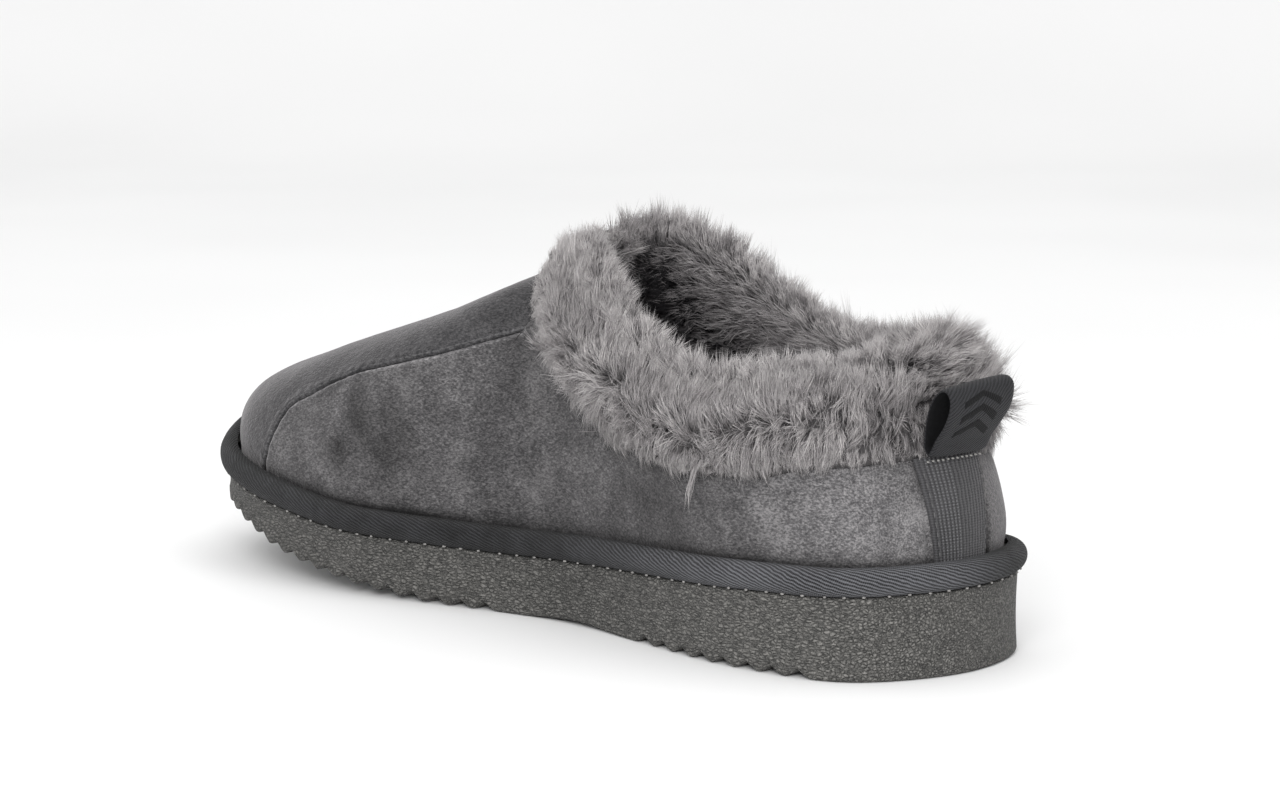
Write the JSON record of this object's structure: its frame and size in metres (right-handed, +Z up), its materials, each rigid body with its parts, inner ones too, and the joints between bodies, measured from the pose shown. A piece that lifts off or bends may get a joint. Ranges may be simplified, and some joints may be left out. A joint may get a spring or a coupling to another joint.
{
  "type": "fluffy house slipper",
  "caption": "Closed-heel house slipper with suede upper, deep long-pile cuff, corded rand, scalloped foam sole and a hinged heel pull loop.",
  "frame": {"origin": "centre of the overall box in X and Y, on the ground", "axes": "+Y points to the heel and the toe points to -Y; +X is the lateral side of this left slipper; +Z is up"},
  "size_m": [0.1015, 0.2904, 0.1078],
  "materials": {
    "sole_foam": "matte warm grey foam with leather grain",
    "platform_foam": "matte foam",
    "cord": "twisted cotton",
    "rand_twill": "charcoal twill tape",
    "light_thread": "sewing thread",
    "dark_thread": "sewing thread",
    "motif_thread": "woven black thread",
    "board": "fibre board",
    "footbed_foam": "open-cell foam",
    "stiffener": "resin-stiffened felt",
    "suede": "brushed grey faux suede",
    "fur_backing": "knitted pile backing",
    "fur": "long-pile faux fur, light tips and dark roots",
    "webbing": "charcoal twill ribbon"
  },
  "bodies": {
    "slipper": {"outsole": "sole_foam", "midsole_platform": "platform_foam", "rand_cord": "cord", "rand_tape": "rand_twill", "rand_stitching": "light_thread", "insole_board": "board", "footbed_foam": "footbed_foam", "fleece_sock": "fur", "vamp_panel": "suede", "side_panel_lateral": "suede", "side_panel_medial": "suede", "vamp_seam_stitching": "dark_thread", "toe_puff": "stiffener", "heel_counter": "stiffener", "vamp_lining": "fur_backing", "quarter_lining_lateral": "fur_backing", "quarter_lining_medial": "fur_backing", "fur_cuff": "fur", "heel_tape": "webbing", "heel_tape_stitching": "dark_thread", "pull_loop_stitching": "light_thread"},
    "pull_loop": {"pull_loop": "webbing", "pull_loop_motif": "motif_thread"}
  },
  "joints": [
    {"name": "pull_loop_hinge", "type": "hinge", "parent": "slipper", "child": "pull_loop", "pos_m": [0, 0.1339, 0.0544], "axis": [-1, 0, 0], "range_deg": [0, 110]}
  ]
}
